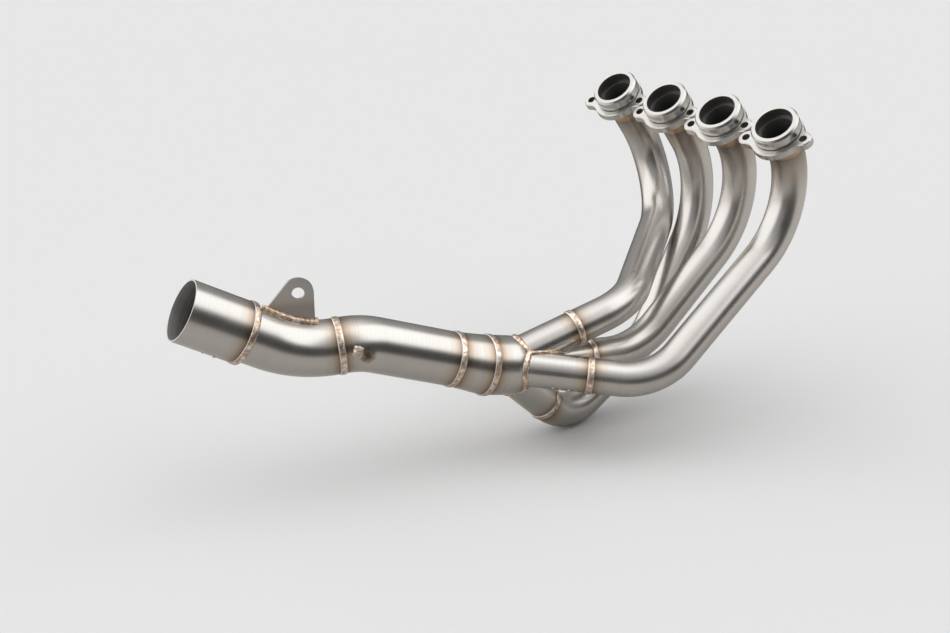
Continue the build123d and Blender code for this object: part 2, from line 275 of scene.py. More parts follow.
STEEL = (0.63, 0.605, 0.575)
STEEL_DARK = tuple(level * 0.92 for level in STEEL)
STEEL_LIGHT = tuple(level * 1.06 for level in STEEL)
BELT_LINES = 1100.0
BELT_SHADE = (0.86, 0.86, 0.86)
BLOTCHES = 34.0
PLAIN = (1.0, 1.0, 1.0)
SATIN = 0.25
DULLER_SATIN = 0.29
SATIN_SPREAD = 0.12
TINT_REACH = 19 * MM
TINT = [
    (0.00, (0.40, 0.34, 0.31)),
    (0.06, (0.52, 0.40, 0.31)),
    (0.18, (0.72, 0.59, 0.47)),
    (0.42, (0.92, 0.86, 0.79)),
    (0.85, PLAIN),
]
BEAD_EDGE = 2.9 * MM
PORT_TINT_REACH = 60 * MM
PORT_TINT = [
    (0.00, (0.62, 0.44, 0.30)),
    (0.13, (0.90, 0.62, 0.39)),
    (0.20, (0.80, 0.55, 0.36)),
    (0.24, (0.38, 0.40, 0.45)),
    (0.28, (0.54, 0.47, 0.41)),
    (0.50, (0.74, 0.68, 0.62)),
    (1.00, PLAIN),
]
PORT_WELD_END = 14.5 * MM
SCRIBE_WIDTH = 1.0 * MM
SCRIBE = [(0.0, (0.92, 0.91, 0.90)), (0.5, PLAIN)]
LUG_SHADOW_REACH = 15 * MM
LUG_SHADOW_RAGGED = 8 * MM
LUG_SHADOW = [(0.45, (0.20, 0.15, 0.11)), (0.72, (0.62, 0.54, 0.46)), (0.95, PLAIN)]


def heat_tint(graph, distance, reach=TINT_REACH, stops=TINT):
    """Colour that heated steel keeps, from the weld's edge outwards."""
    share = graph.maths("DIVIDE", distance, reach, clamp=True)
    return graph.ramp(share, stops)


def opaque(colour):
    return (*colour, 1)


def steel_finish(graph, run, tints, roughness=SATIN):
    """Satin stainless: faint rings of the polishing belt, soft blotches, and the heat tints.
    The run is the distance along the piece, which the belt's rings lie across."""
    lines = {"Scale": 1.0, "Detail": 3.0, "Roughness": 0.6}
    rings = graph.add("ShaderNodeTexNoise", lines, noise_dimensions="1D")
    graph.wire(graph.maths("MULTIPLY", run, BELT_LINES), rings.inputs["W"])
    clouds = graph.add("ShaderNodeTexNoise", {"Vector": graph.place(), "Scale": BLOTCHES, "Detail": 4.0})
    base = graph.blend("MIX", clouds.outputs[0], opaque(STEEL_DARK), opaque(STEEL_LIGHT))
    fine = graph.ramp(rings.outputs[0], [(0.25, BELT_SHADE), (0.75, PLAIN)])
    base = graph.blend("MULTIPLY", 1.0, base, fine.outputs[0])
    for tint in tints:
        base = graph.blend("MULTIPLY", 1.0, base, tint.outputs[0])
    graph.wire(base, graph.shader.inputs["Base Color"])
    graph.shader.inputs["Metallic"].default_value = 1.0
    rough = graph.maths("MULTIPLY_ADD", clouds.outputs[0], SATIN_SPREAD)
    rough.inputs[2].default_value = roughness - SATIN_SPREAD / 2
    graph.wire(rough, graph.shader.inputs["Roughness"])
    bump = graph.add("ShaderNodeBump", {"Strength": 0.035, "Distance": 0.0002, "Height": rings.outputs[0]})
    graph.wire(bump, graph.shader.inputs["Normal"])


def painted_lug_shadow(graph, spot):
    """A ragged brown patch round one spot: the painted shadow of the stub lug."""
    place = graph.place()
    away = graph.add("ShaderNodeVectorMath", {0: place, 1: tuple(spot)}, operation="DISTANCE")
    ragged = graph.add("ShaderNodeTexNoise", {"Vector": place, "Scale": 260.0, "Detail": 3.0})
    wobble = graph.maths("MULTIPLY", ragged.outputs[0], LUG_SHADOW_RAGGED)
    away = graph.maths("ADD", away.outputs["Value"], wobble)
    share = graph.maths("DIVIDE", away, LUG_SHADOW_REACH, clamp=True)
    return graph.ramp(share, LUG_SHADOW)


def tube_finish(name, scribes, port_end, shadow_spots=()):
    """Satin tube: heat tint at both ends, stronger at a port, a faint line at each scribe, and a painted
    shadow round each shadow spot.
    """
    graph = Graph(bpy.data.materials.new(name))
    start = graph.number("from_start")
    end = graph.number("from_end")
    marks = []
    for place in scribes:
        gap = graph.maths("ABSOLUTE", graph.maths("SUBTRACT", start, place))
        marks.append(graph.ramp(graph.maths("DIVIDE", gap, SCRIBE_WIDTH, clamp=True), SCRIBE))
    tints = [heat_tint(graph, graph.maths("SUBTRACT", end, BEAD_EDGE, clamp=True))]
    if port_end:
        first = graph.maths("SUBTRACT", start, PORT_WELD_END, clamp=True)
        tints.append(heat_tint(graph, first, PORT_TINT_REACH, PORT_TINT))
    else:
        tints.append(heat_tint(graph, graph.maths("SUBTRACT", start, BEAD_EDGE, clamp=True)))
    marks += [painted_lug_shadow(graph, spot) for spot in shadow_spots]
    steel_finish(graph, start, tints + marks, DULLER_SATIN if port_end else SATIN)
    return graph.owner


BORE_LINES = 700.0
DEEPEST_PAINTED_SHADE = (0.12, 0.12, 0.12)


def inside_with_painted_shade(name, colour, axis, mouth, reach):
    """Inside of a pipe painted dark, and darker still with depth from the mouth, all painted shade, with
    faint rings left by the tool.
    """
    graph = Graph(bpy.data.materials.new(name))
    rings = graph.add("ShaderNodeTexNoise", {"Scale": 1.0, "Detail": 3.0}, noise_dimensions="1D")
    along = graph.add("ShaderNodeVectorMath", {0: graph.place(), 1: tuple(axis)}, operation="DOT_PRODUCT")
    graph.wire(graph.maths("MULTIPLY", along.outputs["Value"], BORE_LINES), rings.inputs["W"])
    darker = [level * 0.8 for level in colour]
    lighter = [level * 1.2 for level in colour]
    base = graph.ramp(rings.outputs[0], [(0.3, darker), (0.7, lighter)]).outputs[0]
    depth = graph.maths("ABSOLUTE", graph.maths("SUBTRACT", along.outputs["Value"], mouth.dot(axis)))
    share = graph.maths("DIVIDE", depth, reach, clamp=True)
    painted_shade = graph.ramp(share, [(0.0, PLAIN), (1.0, DEEPEST_PAINTED_SHADE)]).outputs[0]
    graph.wire(graph.blend("MULTIPLY", 1.0, base, painted_shade), graph.shader.inputs["Base Color"])
    graph.shader.inputs["Metallic"].default_value = 0.5
    graph.shader.inputs["Roughness"].default_value = 0.42
    graph.shader.inputs["Specular IOR Level"].default_value = 0.12
    return graph.owner


# The dark colours inside the ports and the tubes, darker with depth, are painted shade.
PORT_SHADE_REACH = 60 * MM
port_inside = inside_with_painted_shade("port_inside", (0.11, 0.106, 0.102), port_out, port_top(3), PORT_SHADE_REACH)
tube_inside_painted_shade = inside_with_painted_shade("tube_inside_painted_shade", (0.24, 0.235, 0.23), port_out, port_top(3), PORT_SHADE_REACH)
for port in range(4):
    corners = primary_corners(port)
    radii = [radius * MM for radius in BEND_RADII[port]]
    satin = tube_finish(f"satin_tube_{port + 1}", bend_runs(corners, radii), True)
    tube = bent_tube(f"tube_{port + 1}", corners, radii, TUBE_OD, (satin, tube_inside_painted_shade))
    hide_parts(f"primary_tube_{port + 1}")
    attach(tube, "root")

# Head flanges. Two-eared plates with a turned ring that enters the port, machined from
# stainless plate and left bright. Every edge is lightly broken.
EDGE_BREAK = 0.45 * MM
EDGE_ANGLE = math.radians(32)
MERGE_REACH = 0.002 * MM
FLAT_ANGLE = math.radians(0.2)


def smooth_copy(node, name, edge_break):
    """A copy of a solid with its points merged and its sharp edges rounded."""
    start_fresh()
    piece = bpy.data.objects.new(name, nodes[node].data.copy())
    bpy.context.scene.collection.objects.link(piece)
    piece.select_set(True)
    bpy.context.view_layer.objects.active = piece
    piece.data.materials.clear()
    bpy.ops.mesh.customdata_custom_splitnormals_clear()
    bpy.ops.object.mode_set(mode="EDIT")
    bpy.ops.mesh.select_all(action="SELECT")
    bpy.ops.mesh.remove_doubles(threshold=MERGE_REACH)
    bpy.ops.mesh.dissolve_limited(angle_limit=FLAT_ANGLE)
    bpy.ops.object.mode_set(mode="OBJECT")
    if edge_break:
        rounding = piece.modifiers.new("edges", "BEVEL")
        rounding.width = edge_break
        rounding.segments = 3
        rounding.limit_method = "ANGLE"
        rounding.angle_limit = EDGE_ANGLE
        rounding.harden_normals = True
        bpy.ops.object.modifier_apply(modifier=rounding.name)
    bpy.ops.object.shade_smooth_by_angle(angle=CREASE)
    levelling = piece.modifiers.new("flat_faces", "WEIGHTED_NORMAL")
    levelling.keep_sharp = True
    bpy.ops.object.modifier_apply(modifier=levelling.name)
    return piece


def off_axis(point, centre, axis):
    """From the nearest place on the axis to the point."""
    offset = point - centre
    return offset - axis * offset.dot(axis)


ALONG_ENOUGH = 0.8


def paint_bore(piece, centre, axis, radius, material):
    """The faces that look inwards at the axis, no further from it than the radius, turn dark: painted shade.
    """
    piece.data.materials.append(material)
    number = len(piece.data.materials) - 1
    for face in piece.data.polygons:
        corners = [off_axis(piece.data.vertices[index].co, centre, axis) for index in face.vertices]
        near = max(corner.length for corner in corners) < radius
        inwards = face.normal.dot(off_axis(face.center, centre, axis)) <= 0
        if near and inwards and abs(face.normal.dot(axis)) < ALONG_ENOUGH:
            face.material_index = number


PLATE_DARK = (0.51, 0.495, 0.475)
PLATE_LIGHT = (0.60, 0.585, 0.565)
PLATE_GLOSS = 0.20


def plate_finish(name):
    """Machined plate: a fine grain in its gloss, and soft clouds in its colour."""
    graph = Graph(bpy.data.materials.new(name))
    place = graph.place()
    grain = graph.add("ShaderNodeTexNoise", {"Vector": place, "Scale": 900.0, "Detail": 3.0})
    clouds = graph.add("ShaderNodeTexNoise", {"Vector": place, "Scale": 45.0, "Detail": 3.0})
    base = graph.blend("MIX", clouds.outputs[0], opaque(PLATE_DARK), opaque(PLATE_LIGHT))
    graph.wire(base, graph.shader.inputs["Base Color"])
    graph.shader.inputs["Metallic"].default_value = 1.0
    rough = graph.maths("MULTIPLY_ADD", grain.outputs[0], 0.10)
    rough.inputs[2].default_value = PLATE_GLOSS
    graph.wire(rough, graph.shader.inputs["Roughness"])
    bump = graph.add("ShaderNodeBump", {"Strength": 0.05, "Distance": 0.0002, "Height": grain.outputs[0]})
    graph.wire(bump, graph.shader.inputs["Normal"])
    return graph.owner


machined_flange = plate_finish("machined_flange")
BORE_REACH = 20.6 * MM
STUD_HALF = 33 * MM
STUD_TURN = math.radians(12.5)
STUD_DROP = 8 * MM
STUD_REACH = 4.5 * MM
plate_down = Vector((-math.cos(PORT_LEAN), 0, -math.sin(PORT_LEAN)))
for port in range(4):
    flange = smooth_copy(f"head_flange_{port + 1}", f"flange_{port + 1}", EDGE_BREAK)
    flange.data.materials.append(machined_flange)
    # The bore and both stud holes are painted dark: painted shade.
    paint_bore(flange, port_top(port), port_out, BORE_REACH, port_inside)
    for way in (-1, 1):
        hole = port_top(port) + Vector((0, way * STUD_HALF * math.cos(STUD_TURN), 0))
        hole += plate_down * (STUD_DROP + way * STUD_HALF * math.sin(STUD_TURN))
        paint_bore(flange, hole, port_out, STUD_REACH, port_inside)
    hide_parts(f"head_flange_{port + 1}")
    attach(flange, "root")

# Weld rings. Each joint is run round by hand with filler rod, so the bead is a low band of
# overlapping scales, bronze and blue on its crest, with a thin bright shoulder on each side.
BEAD_HALF = 3.3 * MM
BEAD_RISE = 0.95 * MM
BEAD_ROOT = 0.7 * MM
SHOULDER = 0.42 * MM
SCALE_PITCH = 2.3 * MM
SCALE_RISE = 0.24 * MM
SCALE_LENGTH = SCALE_PITCH * 0.85
SCALE_TIP = 0.18
RING_STEPS = 144
FLANGE_WELD_DROP = 24.3 * MM
FLANGE_WELD_GAP = 0.3 * MM
BODY_OD = 63.5 * MM
MID_OD = 57.2 * MM


def model_scale():
    """One flat oval scale of weld, without the half that is buried in the bead."""
    start_fresh()
    bpy.ops.mesh.primitive_uv_sphere_add(segments=10, ring_count=6, radius=1)
    scale = bpy.context.object
    bpy.ops.object.mode_set(mode="EDIT")
    bpy.ops.mesh.select_all(action="SELECT")
    bpy.ops.mesh.bisect(plane_co=(0, 0, -0.2), plane_no=(0, 0, 1), clear_inner=True)
    bpy.ops.object.mode_set(mode="OBJECT")
    return scale


def join_to(main, others):
    """The others become one mesh with the main piece."""
    start_fresh()
    for piece in others:
        piece.select_set(True)
    main.select_set(True)
    bpy.context.view_layer.objects.active = main
    bpy.ops.object.join()


def lay_scales(bead, spots, half):
    """One copy of the scale at each spot: where it lies, which way is out, and the way it was laid."""
    pattern = model_scale()
    copies = []
    for number, (spot, out, ahead) in enumerate(spots):
        across = out.cross(ahead).normalized()
        tipped = (out - ahead * SCALE_TIP).normalized()
        width = half * (0.80 + 0.05 * math.sin(number * 2.3))
        shape = Matrix((ahead * SCALE_LENGTH, across * width, tipped * SCALE_RISE)).transposed().to_4x4()
        copy = bpy.data.objects.new("scale", pattern.data.copy())
        copy.data.transform(Matrix.Translation(spot) @ shape)
        bpy.context.scene.collection.objects.link(copy)
        copies.append(copy)
    bpy.data.objects.remove(pattern)
    join_to(bead, copies)


def mark_across(bead, centre, axis, half):
    """Each point of a ring learns how far it lies to the side of the crest."""
    across = bead.data.attributes.new("across", "FLOAT", "POINT")
    for vertex in bead.data.vertices:
        across.data[vertex.index].value = abs((vertex.co - centre).dot(axis)) / half


def weld_ring(name, node, centre, axis, radius, half=BEAD_HALF, rise=BEAD_RISE):
    """A rounded rectangle spun round the joint, two thin shoulders, and scales laid on its crest."""
    start_fresh()
    turn = axis.to_track_quat("Z", "Y")
    side = turn @ Vector((1, 0, 0))
    seat = turn @ Matrix.Rotation(math.pi / 2, 3, "X").to_quaternion()
    spot = centre + side * (radius + (rise - BEAD_ROOT) / 2)
    bpy.ops.mesh.primitive_plane_add(size=1, location=spot, rotation=seat.to_euler())
    ring = bpy.context.object
    ring.name = name
    ring.scale = (rise + BEAD_ROOT, 2 * half, 1)
    set_in_mesh(ring)
    bpy.ops.object.mode_set(mode="EDIT")
    bpy.ops.mesh.select_all(action="SELECT")
    bpy.ops.mesh.bevel(affect="VERTICES", offset=rise * 0.8, segments=4)
    bpy.ops.mesh.select_all(action="SELECT")
    bpy.ops.mesh.delete(type="ONLY_FACE")
    bpy.ops.mesh.select_all(action="SELECT")
    bpy.ops.mesh.spin(steps=RING_STEPS, angle=2 * math.pi, center=centre, axis=axis)
    bpy.ops.mesh.select_all(action="SELECT")
    bpy.ops.mesh.remove_doubles(threshold=0.01 * MM)
    bpy.ops.mesh.normals_make_consistent(inside=False)
    bpy.ops.object.mode_set(mode="OBJECT")
    shoulders = []
    for way in (-1, 1):
        start_fresh()
        bpy.ops.mesh.primitive_torus_add(
            major_radius=radius + SHOULDER * 0.5, minor_radius=SHOULDER,
            major_segments=RING_STEPS, minor_segments=8,
            location=centre + axis * way * (half - SHOULDER * 0.5), rotation=turn.to_euler(),
        )
        shoulders.append(bpy.context.object)
        set_in_mesh(bpy.context.object)
    count = round(2 * math.pi * radius / SCALE_PITCH)
    spots = []
    for number in range(count):
        around = Matrix.Rotation(2 * math.pi * number / count, 3, axis)
        out = around @ side
        spots.append((centre + out * (radius + rise - SCALE_RISE * 0.1), out, axis.cross(out)))
    lay_scales(ring, spots, half)
    join_to(ring, shoulders)
    bpy.ops.object.shade_smooth_by_angle(angle=math.radians(60))
    mark_across(ring, centre, axis, half)
    ring.data.materials.clear()
    ring.data.materials.append(weld_bead)
    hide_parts(node)
    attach(ring, "root")


BEAD_GLOSS = 0.22
BEAD_COLOURS = [
    (0.30, (0.34, 0.38, 0.46)),
    (0.40, (0.50, 0.37, 0.29)),
    (0.49, (0.78, 0.54, 0.37)),
    (0.57, (0.88, 0.70, 0.54)),
    (0.66, (0.95, 0.92, 0.88)),
]
SHOULDER_COLOUR = (0.74, 0.77, 0.82)
ON_SHOULDER = [(0.70, (0.0, 0.0, 0.0)), (0.86, PLAIN)]


def bead_finish(name, has_shoulders, roughness=BEAD_GLOSS):
    """Weld metal: patches of blue, bronze, straw and bare steel, and paler shoulders on a ring."""
    graph = Graph(bpy.data.materials.new(name))
    place = graph.place()
    flow = {"Vector": place, "Scale": 230.0, "Detail": 2.0, "Distortion": 0.5}
    patches = graph.add("ShaderNodeTexNoise", flow)
    grain = graph.add("ShaderNodeTexNoise", {"Vector": place, "Scale": 1500.0, "Detail": 2.0})
    crest = graph.ramp(patches.outputs[0], BEAD_COLOURS).outputs[0]
    if has_shoulders:
        edge = graph.ramp(graph.number("across"), ON_SHOULDER)
        crest = graph.blend("MIX", edge.outputs[0], crest, opaque(SHOULDER_COLOUR))
    graph.wire(crest, graph.shader.inputs["Base Color"])
    graph.shader.inputs["Metallic"].default_value = 1.0
    rough = graph.maths("MULTIPLY_ADD", grain.outputs[0], 0.2)
    rough.inputs[2].default_value = roughness
    graph.wire(rough, graph.shader.inputs["Roughness"])
    bump = graph.add("ShaderNodeBump", {"Strength": 0.12, "Distance": 0.0003, "Height": grain.outputs[0]})
    graph.wire(bump, graph.shader.inputs["Normal"])
    return graph.owner


weld_bead = bead_finish("weld_bead", True)
for port in range(4):
    end, heading = branch_end(port)
    weld_ring(f"primary_bead_{port + 1}", f"primary_weld_{port + 1}", end, heading, TUBE_OD / 2)
    under_plate = port_top(port) + port_out * FLANGE_WELD_DROP
    weld_ring(f"flange_bead_{port + 1}", f"flange_weld_{port + 1}", under_plate, port_out,
              TUBE_OD / 2 + FLANGE_WELD_GAP, half=2.4 * MM, rise=1.6 * MM)

# Collector. Four short stubs coped on each other and on a round body, with a cone behind it
# that narrows to the mid pipe. All of it is rolled or cut from the same satin stainless.
BODY_TURN = math.radians(-15.9)
BODY_DIP = math.radians(11.8)
BODY_BEHIND = 15 * MM
BODY_AHEAD = 34 * MM
CONE_LENGTH = 38 * MM
FRONT_STEP = Vector((-141, 51, 50)) * MM
REAR_STEP = Vector((-55, 29, -5)) * MM
OUTLET_STEP = Vector((-105, 38, 62)) * MM

body_axis = Vector((
    math.cos(BODY_TURN) * math.cos(BODY_DIP), math.sin(BODY_TURN) * math.cos(BODY_DIP), -math.sin(BODY_DIP)
))
body_back = MERGE - body_axis * BODY_BEHIND
front_corner = MERGE + FRONT_STEP
rear_corner = front_corner + REAR_STEP
outlet = rear_corner + OUTLET_STEP
cone_axis = (front_corner - body_back).normalized()
cone_end = body_back + cone_axis * CONE_LENGTH


def from_plane(graph, place, centre, axis):
    """Distance of a point from a flat joint, on either side of it."""
    offset = graph.add("ShaderNodeVectorMath", {0: place, 1: tuple(centre)}, operation="SUBTRACT")
    along = graph.add("ShaderNodeVectorMath", {0: offset.outputs[0], 1: tuple(axis)}, operation="DOT_PRODUCT")
    return graph.maths("ABSOLUTE", along.outputs["Value"])


def fixed_finish(name, joints):
    """Satin steel on a straight piece: joints are the flat welds that tint it."""
    graph = Graph(bpy.data.materials.new(name))
    place = graph.place()
    distances = [from_plane(graph, place, centre, axis) for centre, axis in joints]
    tints = []
    for distance in distances:
        tints.append(heat_tint(graph, graph.maths("SUBTRACT", distance, BEAD_HALF * 0.9, clamp=True)))
    steel_finish(graph, distances[0].outputs[0], tints)
    return graph.owner


RIPPLE_GRAIN = 0.55 * MM
RIPPLE_RISE = 0.6 * MM
RIPPLE_SIZE = 2.4 * MM
RIPPLE_GROWTH = 0.2 * MM


def hand_laid(node, name, material, rise=RIPPLE_RISE, growth=RIPPLE_GROWTH, rounds=6):
    """A bead that follows a bent joint: the solid's own form, softened and rippled as hot metal sets.
    More rounds make it smoother and thinner, which the growth makes good."""
    bead = smooth_copy(node, name, 0)
    softening = bead.modifiers.new("softened", "REMESH")
    softening.mode = "VOXEL"
    softening.voxel_size = RIPPLE_GRAIN
    bpy.ops.object.modifier_apply(modifier=softening.name)
    rounding = bead.modifiers.new("rounded", "SMOOTH")
    rounding.iterations = rounds
    bpy.ops.object.modifier_apply(modifier=rounding.name)
    pattern = bpy.data.textures.new("ripple", "CLOUDS")
    pattern.noise_scale = RIPPLE_SIZE
    rippling = bead.modifiers.new("rippled", "DISPLACE")
    rippling.texture = pattern
    rippling.strength = rise
    rippling.mid_level = 0.5 - growth / rise
    bpy.ops.object.modifier_apply(modifier=rippling.name)
    bpy.ops.object.shade_smooth()
    bead.data.materials.clear()
    bead.data.materials.append(material)
    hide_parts(node)
    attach(bead, "root")


def refinish(node, material):
    """A solid that stays as it is gets its own finish."""
    nodes[node].data.materials.clear()
    nodes[node].data.materials.append(material)


mitre_axis = (cone_axis - body_axis).normalized()
body_front = MERGE + body_axis * BODY_AHEAD
for port in range(4):
    refinish(f"collector_branch_{port + 1}", fixed_finish(f"branch_steel_{port + 1}", [branch_end(port)]))
refinish("collector_body", fixed_finish("body_steel", [(body_back, mitre_axis), (body_front, body_axis)]))
refinish("collector_cone", fixed_finish("cone_steel", [(body_back, mitre_axis), (cone_end, cone_axis)]))
seam_bead = bead_finish("seam_bead", False)
hand_laid("collector_seam_weld", "seam", seam_bead)
weld_ring("body_bead", "body_weld", body_back, mitre_axis, BODY_OD / 2)
weld_ring("cone_bead", "cone_weld", cone_end, cone_axis, MID_OD / 2)

# Mid pipe. Two bent lengths of larger stainless tube, joined by a bead in the middle of the
# sweep. The front one runs from the cone, and the rear one ends inside the outlet sleeve.
MID_JOINT = 21.3 * MM
MID_BEND_FRONT = 76 * MM
MID_BEND_REAR = 118 * MM
SLEEVE_LENGTH = 65 * MM
SLEEVE_SEAT = 12 * MM
outlet_axis = OUTLET_STEP.normalized()
sleeve_start = outlet - outlet_axis * SLEEVE_LENGTH
mid_joint = front_corner + REAR_STEP.normalized() * MID_JOINT
# Middle of the painted shadow of the lug on the front mid pipe.
lug_shadow_spot = Vector((-421, 155, -193.5)) * MM
# The inside of the mid pipes and the sleeve is dark, and darker with depth from the outlet's mouth: painted
# shade.
OUTLET_SHADE_REACH = 34 * MM
pipe_inside = inside_with_painted_shade("pipe_inside", (0.44, 0.43, 0.42), outlet_axis, outlet, OUTLET_SHADE_REACH)
seated_end = sleeve_start + outlet_axis * SLEEVE_SEAT
for name, node, corners, radius, shadow_spots in (
    ("mid_front", "mid_pipe_front", [cone_end, front_corner, mid_joint], MID_BEND_FRONT, [lug_shadow_spot]),
    ("mid_rear", "mid_pipe_rear", [mid_joint, rear_corner, seated_end], MID_BEND_REAR, []),
):
    satin = tube_finish(f"satin_{name}", [], False, shadow_spots)
    tube = bent_tube(name, corners, [radius], MID_OD, (satin, pipe_inside))
    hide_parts(node)
    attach(tube, "root")
weld_ring("mid_bead", "mid_pipe_weld", mid_joint, REAR_STEP.normalized(), MID_OD / 2)

# Outlet sleeve. A wider, straight tube over the end of the mid pipe, with an open mouth that
# the next pipe enters. Its mouth is faced and lightly rounded.
SLEEVE_OD = 63.5 * MM
SLEEVE_EDGE = 0.35 * MM
STEP_BEAD_BACK = 0.8 * MM
STEP_BEAD_IN = 1.6 * MM
sleeve = smooth_copy("outlet_sleeve", "sleeve", SLEEVE_EDGE)
sleeve.data.materials.append(fixed_finish("sleeve_steel", [(sleeve_start, outlet_axis)]))
paint_bore(sleeve, sleeve_start, outlet_axis, SLEEVE_OD / 2 - WALL * 0.9, pipe_inside)
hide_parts("outlet_sleeve")
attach(sleeve, "root")
weld_ring("outlet_bead", "outlet_weld", sleeve_start - outlet_axis * STEP_BEAD_BACK, outlet_axis,
          SLEEVE_OD / 2 - STEP_BEAD_IN, half=3.6 * MM, rise=2.4 * MM)

# Spatter. A few drops of weld metal that froze on the underside of the sleeve and of the front
# branch. Each is a low drop with a flat seat, about 3 mm across.
DROP_SEAT = 0.3 * MM
DROP_SHAPE = (1.3, 1.0, 0.75)
SLEEVE_DROPS = [(-562, 232, -174, 1.2), (-552, 228, -180, 1.5)]
BRANCH_DROPS = [(-237, 80, -259, 1.3), (-231, 75, -260, 1.0), (-224, 69, -262, 1.5), (-219, 64, -262, 1.1)]


def freeze_drops(name, spots, start, axis, radius):
    """Drops on a round wall: each spot gives a rough place and a size, and the drop sits there."""
    drops = []
    for x, y, z, size in spots:
        place = Vector((x, y, z)) * MM
        out = off_axis(place, start, axis).normalized()
        foot = place - off_axis(place, start, axis) + out * radius
        start_fresh()
        bpy.ops.mesh.primitive_uv_sphere_add(
            segments=16, ring_count=10, radius=size * MM, location=foot,
            rotation=out.to_track_quat("Z", "Y").to_euler(),
        )
        drop = bpy.context.object
        drop.scale = DROP_SHAPE
        set_in_mesh(drop)
        bpy.ops.object.mode_set(mode="EDIT")
        bpy.ops.mesh.select_all(action="SELECT")
        bpy.ops.mesh.bisect(plane_co=foot - out * DROP_SEAT, plane_no=out, use_fill=True, clear_inner=True)
        bpy.ops.object.mode_set(mode="OBJECT")
        drops.append(drop)
    join_to(drops[0], drops[1:])
    drops[0].name = name
    bpy.ops.object.shade_smooth_by_angle(angle=math.radians(50))
    drops[0].data.materials.append(seam_bead)
    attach(drops[0], "root")


freeze_drops("sleeve_spatter", SLEEVE_DROPS, sleeve_start, outlet_axis, SLEEVE_OD / 2)
freeze_drops("branch_spatter", BRANCH_DROPS, MERGE, branch_end(3)[1], TUBE_OD / 2)

# Hanger bracket. A tab of plate with a bolt hole, welded across the top of the rear half of the
# mid pipe, with a broad bead round its foot. The weld's heat has browned the plate's lower edge.
FOOT_TINT_REACH = 20 * MM
FOOT_TINT_SHARE = 0.55
FOOT_DROP = 4 * MM
BRACKET_EDGE = 0.4 * MM
DULL = 0.5


def bracket_finish(name, foot):
    """Plain plate, browned upwards from its foot."""
    material = plate_finish(name)
    graph = Graph(material)
    height = graph.add("ShaderNodeSeparateXYZ", {0: graph.place()}).outputs["Z"]
    tint = heat_tint(graph, graph.maths("SUBTRACT", height, foot), FOOT_TINT_REACH)
    plain = graph.shader.inputs["Base Color"].links[0].from_socket
    base = graph.blend("MULTIPLY", FOOT_TINT_SHARE, plain, tint.outputs[0])
    graph.wire(base, graph.shader.inputs["Base Color"])
    return material


bracket = smooth_copy("hanger_bracket", "hanger", BRACKET_EDGE)
bracket.data.materials.append(bracket_finish("bracket_plate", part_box("hanger_weld")[1].z - FOOT_DROP))
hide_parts("hanger_bracket")
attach(bracket, "root")
hand_laid("hanger_weld", "hanger_bead", bead_finish("dull_bead", False, DULL),
          rise=0.7 * MM, growth=1.4 * MM, rounds=22)

# Stub lug. A blunt stub of metal left on the side of the mid pipe, rough and unpolished. Beside it
# the mid pipe carries a painted shadow of it, a ragged brown patch.
ROUGH_METAL = [(0.35, (0.36, 0.29, 0.22)), (0.5, (0.60, 0.52, 0.43)), (0.65, (0.78, 0.72, 0.63))]


def rough_finish(name):
    """Unpolished metal: tan with brown patches and a coarse grain."""
    graph = Graph(bpy.data.materials.new(name))
    ribs = graph.add("ShaderNodeTexNoise", {"Vector": graph.place(), "Scale": 240.0, "Detail": 2.0})
    graph.wire(graph.ramp(ribs.outputs[0], ROUGH_METAL), graph.shader.inputs["Base Color"])
    graph.shader.inputs["Metallic"].default_value = 0.7
    graph.shader.inputs["Roughness"].default_value = 0.48
    bump = graph.add("ShaderNodeBump", {"Strength": 0.5, "Distance": 0.0005, "Height": ribs.outputs[0]})
    graph.wire(bump, graph.shader.inputs["Normal"])
    return graph.owner


hand_laid("stub_lug", "lug", rough_finish("rough_lug"), rise=2.4 * MM, growth=0.0)

# Floor, light and camera. A wide pale floor under a studio with two large soft boxes, one high at
# the right front and one at the left rear, and a soft ceiling. The rest of the room is dim, which
# the bright metal shows as dark bands. The camera itself sees an even pale ground; the metal sees a painted
# reflection in the floor.
PALE = 0.79
FLOOR_PALE = 0.69
FLOOR_DROP = 0.4 * MM
FLOOR_SIZE = 40.0
KEY_HEADING = -45
KEY_HALF = 50
KEY_LOW = 28
KEY_LEVEL = 1.8
REAR_HEADING = 133
REAR_HALF = 50
REAR_HIGH = 72
REAR_LEVEL = 1.6
SOFT_EDGE = 5
ROOM = [(0.0, 0.28), (0.30, 0.31), (0.60, 0.42), (0.86, 0.90), (0.96, 1.40)]
DARK_HEADING = -88
DARK_HALF = 46
DARK_TOP = 22
DARK_LEVEL = 0.06
PAINTED_REFLECTION_NEAR = 0.44
PAINTED_REFLECTION_FAR = 0.07
PAINTED_REFLECTION_FADE = (0.42, 0.85)
FLOOR_SHAPE = (0.55, 1, 0)
RIGHT_HEADING = -30
RIGHT_HALF = 38
PAINTED_REFLECTION_RIGHT = 0.58
PAINTED_REFLECTION_REAR = 0.95
PAINTED_PATCHES_FROM = 0.30
PAINTED_PATCHES_FULL = 0.60
PAINTED_REFLECTION_WARMTH = (1.03, 1.0, 0.95)
middle = (cad_box[0] + cad_box[1]) / 2


def grey(level):
    return (level, level, level)


def facing(graph, spot, heading, half):
    """1 for a place or a ray that lies within this many degrees of the heading, with a soft edge."""
    middle_way = (math.cos(math.radians(heading)), math.sin(math.radians(heading)), 0)
    level = graph.add("ShaderNodeVectorMath", {0: spot, 1: (1, 1, 0)}, operation="MULTIPLY")
    unit = graph.add("ShaderNodeVectorMath", {0: level.outputs[0]}, operation="NORMALIZE")
    near = graph.add("ShaderNodeVectorMath", {0: unit.outputs[0], 1: middle_way}, operation="DOT_PRODUCT")
    return graph.step(near.outputs["Value"], math.cos(math.radians(half + 2 * SOFT_EDGE)),
                      math.cos(math.radians(half - 2 * SOFT_EDGE)))


